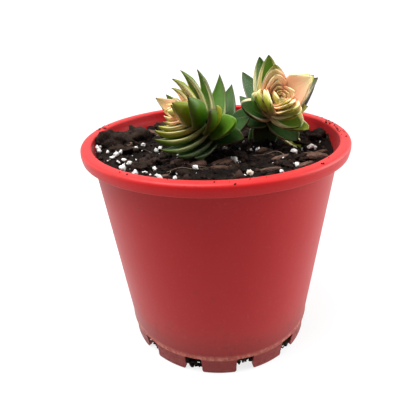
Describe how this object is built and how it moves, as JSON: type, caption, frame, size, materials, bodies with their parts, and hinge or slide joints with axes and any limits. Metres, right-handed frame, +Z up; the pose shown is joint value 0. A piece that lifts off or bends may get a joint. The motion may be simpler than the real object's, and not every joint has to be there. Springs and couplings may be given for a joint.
{
  "type": "potted succulent plant",
  "caption": "Small variegated succulent with two leaning heads of stacked, four-ranked pointed leaves in a round tapered nursery pot with a rolled rim and notched foot ring.",
  "frame": {"origin": "centre of the pot's footprint, on the plane its feet stand on", "axes": "+Z up the pot's axis; -Y the side that both heads lean towards, the usual front; +X towards the head on the right as seen from the front"},
  "size_m": [0.13, 0.13, 0.146],
  "materials": {
    "pot_plastic": "semi-gloss, slightly dusty injection-moulded plastic",
    "potting_mix": "loose, damp, matt",
    "bark_chip": "rough, matt",
    "stem_skin": "smooth, slightly waxy",
    "leaf_young": "smooth cream and pink leaf skin, slight gloss",
    "leaf_mid": "smooth green leaf skin with a cream edge, slight gloss",
    "leaf_old": "smooth dark green leaf skin, slight gloss"
  },
  "bodies": {
    "root": {"pot": "pot_plastic", "soil": "potting_mix", "bark_front": "bark_chip", "bark_right": "bark_chip", "bark_left": "bark_chip", "bark_back": "bark_chip", "stem_left": "stem_skin", "stem_right": "stem_skin", "left_up_1": "leaf_young", "left_up_2": "leaf_young", "left_up_3": "leaf_mid", "left_up_4": "leaf_mid", "left_up_5": "leaf_old", "left_up_6": "leaf_old", "left_up_7": "leaf_old", "left_down_1": "leaf_young", "left_down_2": "leaf_young", "left_down_3": "leaf_mid", "left_down_4": "leaf_mid", "left_down_5": "leaf_old", "left_down_6": "leaf_old", "left_down_7": "leaf_old", "left_front_1": "leaf_young", "left_front_2": "leaf_young", "left_front_3": "leaf_mid", "left_front_4": "leaf_mid", "left_front_5": "leaf_old", "left_front_6": "leaf_old", "left_back_1": "leaf_young", "left_back_2": "leaf_young", "left_back_3": "leaf_mid", "left_back_4": "leaf_mid", "left_back_5": "leaf_old", "left_back_6": "leaf_old", "right_up_1": "leaf_young", "right_up_2": "leaf_young", "right_up_3": "leaf_mid", "right_up_4": "leaf_mid", "right_up_5": "leaf_old", "right_up_6": "leaf_old", "right_up_7": "leaf_old", "right_down_1": "leaf_young", "right_down_2": "leaf_young", "right_down_3": "leaf_mid", "right_down_4": "leaf_mid", "right_down_5": "leaf_old", "right_down_6": "leaf_old", "right_down_7": "leaf_old", "right_right_1": "leaf_young", "right_right_2": "leaf_young", "right_right_3": "leaf_mid", "right_right_4": "leaf_mid", "right_right_5": "leaf_old", "right_right_6": "leaf_old", "right_left_1": "leaf_young", "right_left_2": "leaf_young", "right_left_3": "leaf_mid", "right_left_4": "leaf_mid", "right_left_5": "leaf_old", "right_left_6": "leaf_old"}
  },
  "joints": []
}
